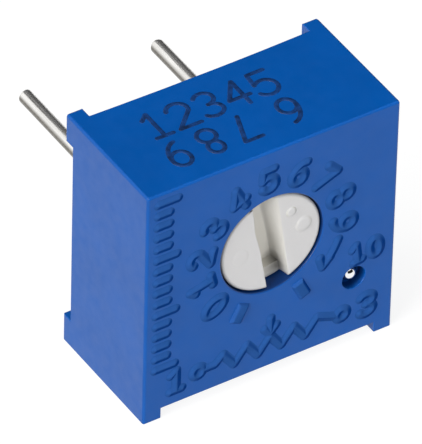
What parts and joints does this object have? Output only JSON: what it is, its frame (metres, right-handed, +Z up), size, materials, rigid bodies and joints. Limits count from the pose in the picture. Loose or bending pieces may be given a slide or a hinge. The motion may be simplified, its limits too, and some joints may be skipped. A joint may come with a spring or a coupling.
{
  "type": "trimmer potentiometer",
  "caption": "Square sealed trimmer potentiometer with a slotted white rotor in its front face, round pins out of its back and two side rails to stand on.",
  "frame": {"origin": "under the middle of the whole part, pins included, in the plane of the two rail feet", "axes": "+Z up, away from the rail feet; +X across the front face, from terminal 1 to terminal 3; +Y from the slotted front face to the pin tips"},
  "size_m": [0.0096, 0.0112, 0.0095],
  "materials": {
    "case_plastic": "satin moulded blue plastic",
    "rotor_plastic": "satin moulded white plastic",
    "seal_rubber": "black silicone rubber",
    "spring_alloy": "rolled spring alloy",
    "alumina": "fired white alumina ceramic",
    "cermet_track": "fired dark resistive glaze",
    "conductor_print": "fired silver alloy print",
    "tinned_wire": "bright tinned copper wire",
    "solder": "bright solder",
    "sealing_resin": "cured blue epoxy resin",
    "ball_steel": "polished steel"
  },
  "bodies": {
    "case": {"housing": "case_plastic", "ceramic_plate": "alumina", "resistive_track": "cermet_track", "collector_layer": "conductor_print", "end_conductor_1": "conductor_print", "end_conductor_3": "conductor_print", "terminal_pin_1": "tinned_wire", "terminal_pin_2": "tinned_wire", "terminal_pin_3": "tinned_wire", "solder_joint_1": "solder", "solder_joint_2": "solder", "solder_joint_3": "solder", "resin_seal": "sealing_resin", "vent_ball": "ball_steel"},
    "rotor": {"rotor": "rotor_plastic", "seal_ring": "seal_rubber", "wiper_spring": "spring_alloy"}
  },
  "joints": [
    {"name": "rotor_turn", "type": "hinge", "parent": "case", "child": "rotor", "pos_m": [0, -0.00543, 0.0056], "axis": [0, 1, 0], "range_deg": [-145, 165]}
  ]
}
